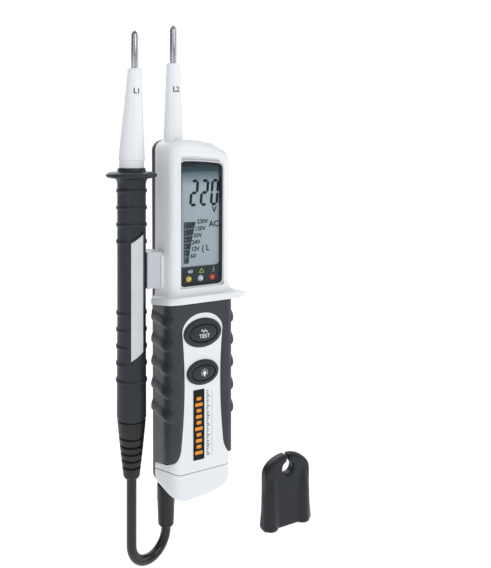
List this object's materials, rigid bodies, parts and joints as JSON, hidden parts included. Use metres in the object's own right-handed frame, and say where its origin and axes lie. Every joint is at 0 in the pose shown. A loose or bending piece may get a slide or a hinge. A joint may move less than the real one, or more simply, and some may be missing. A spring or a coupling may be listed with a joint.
{
  "type": "two-pole voltage tester",
  "caption": "Hand-held two-pole voltage tester with display, rubber grip, fixed probe, docked second probe on a lead, and loose tip guard.",
  "frame": {"origin": "on the fixed probe's axis, where its bare pin leaves the white sleeve", "axes": "+Z along the probes towards their tips, -Y out of the display, +X to the display's right"},
  "size_m": [0.1088, 0.0275, 0.2438],
  "materials": {
    "white_shell": "fine satin moulded plastic",
    "white_sleeve": "smooth satin moulded plastic",
    "charcoal_shell": "fine-grained moulded plastic",
    "charcoal_handle": "satin moulded plastic",
    "grip_rubber": "satin soft-touch overmould",
    "black_rubber": "matte rubber cord",
    "button_rubber": "satin silicone rubber",
    "boot_rubber": "satin flexible rubber",
    "guard_rubber": "satin soft rubber",
    "lead_jacket": "glossy flexible sheath",
    "pin_metal": "bright plated steel",
    "screw_steel": "zinc plated",
    "spring_steel": "drawn spring wire",
    "contact_brass": "plated contact",
    "window_glass": "clear hard-coated window",
    "mask_print": "glossy printed frame",
    "lcd_glass": "pale grey-blue liquid crystal glass",
    "backlight_plastic": "diffusing plastic",
    "connector_rubber": "elastomer strip",
    "led_yellow": "coloured epoxy",
    "led_white": "clear epoxy over white",
    "led_red": "coloured epoxy",
    "led_clear": "clear epoxy",
    "board_green": "solder resist",
    "chip_black": "moulded package",
    "resistor_blue": "lacquered",
    "switch_black": "moulded plastic",
    "plunger_plastic": "moulded plastic",
    "cell_jacket": "printed foil jacket without lettering",
    "front_label": null,
    "rear_label": "plain rating plate without lettering",
    "grey_label": "plain light grey film",
    "grey_clip": "moulded plastic"
  },
  "bodies": {
    "tester": {"front_shell": "white_shell", "rear_shell": "charcoal_shell", "grip_overmould": "grip_rubber", "case_seal": "black_rubber", "case_screws": "screw_steel", "window_lens": "window_glass", "display_mask": "mask_print", "lcd_panel": "lcd_glass", "lcd_backlight": "backlight_plastic", "lcd_connectors": "connector_rubber", "led_yellow": "led_yellow", "led_white": "led_white", "led_red": "led_red", "main_board": "board_green", "board_chips": "chip_black", "input_resistors": "resistor_blue", "test_switch": "switch_black", "light_switch": "switch_black", "buzzer": "chip_black", "torch_led": "led_clear", "torch_lens": "window_glass", "probe_sleeve_l2": "white_sleeve", "probe_pin_l2": "pin_metal", "pin_contact_l2": "contact_brass", "button_ring_test": "button_rubber", "button_ring_light": "button_rubber", "battery_tray": "switch_black", "battery_cells": "cell_jacket", "battery_contacts": "contact_brass", "front_label": "front_label", "rear_label": "rear_label", "dock_rail": "white_shell", "lead_boot_l2": "boot_rubber", "lead_l2": "lead_jacket"},
    "test_key": {"test_button": "button_rubber", "test_plunger": "plunger_plastic"},
    "light_key": {"light_button": "button_rubber", "light_plunger": "plunger_plastic"},
    "battery_cap": {"end_cap": "white_shell", "battery_springs": "spring_steel", "cap_seal": "black_rubber"},
    "cap_fastener": {"cap_screw": "screw_steel"},
    "l1_probe": {"handle_l1": "charcoal_handle", "probe_sleeve_l1": "white_sleeve", "probe_pin_l1": "pin_metal", "contact_spring_l1": "spring_steel", "resistor_l1": "resistor_blue", "label_l1": "grey_label", "dock_clip": "grey_clip", "strain_relief_l1": "boot_rubber", "lead_l1": "lead_jacket"},
    "guard": {"tip_guard": "guard_rubber"}
  },
  "joints": [
    {"name": "l1_undock", "type": "slide", "parent": "tester", "child": "l1_probe", "axis": [0, 0, 1], "range_m": [0, 0.018]},
    {"name": "test_press", "type": "slide", "parent": "tester", "child": "test_key", "axis": [0, 1, 0], "range_m": [0, 0.0008], "stiffness_N_per_m": 450},
    {"name": "light_press", "type": "slide", "parent": "tester", "child": "light_key", "axis": [0, 1, 0], "range_m": [0, 0.0008], "stiffness_N_per_m": 450},
    {"name": "cap_slide", "type": "slide", "parent": "tester", "child": "battery_cap", "axis": [0, 0, -1], "range_m": [0, 0.014], "stiffness_N_per_m": 1500},
    {"name": "cap_screw_turn", "type": "hinge", "parent": "battery_cap", "child": "cap_fastener", "pos_m": [0.0199, -0.0079, -0.19], "axis": [0, 0, 1], "range_deg": [0, 720]},
    {"name": "guard_lift", "type": "slide", "parent": "tester", "child": "guard", "axis": [0, 0, 1], "range_m": [0, 0.03]}
  ]
}
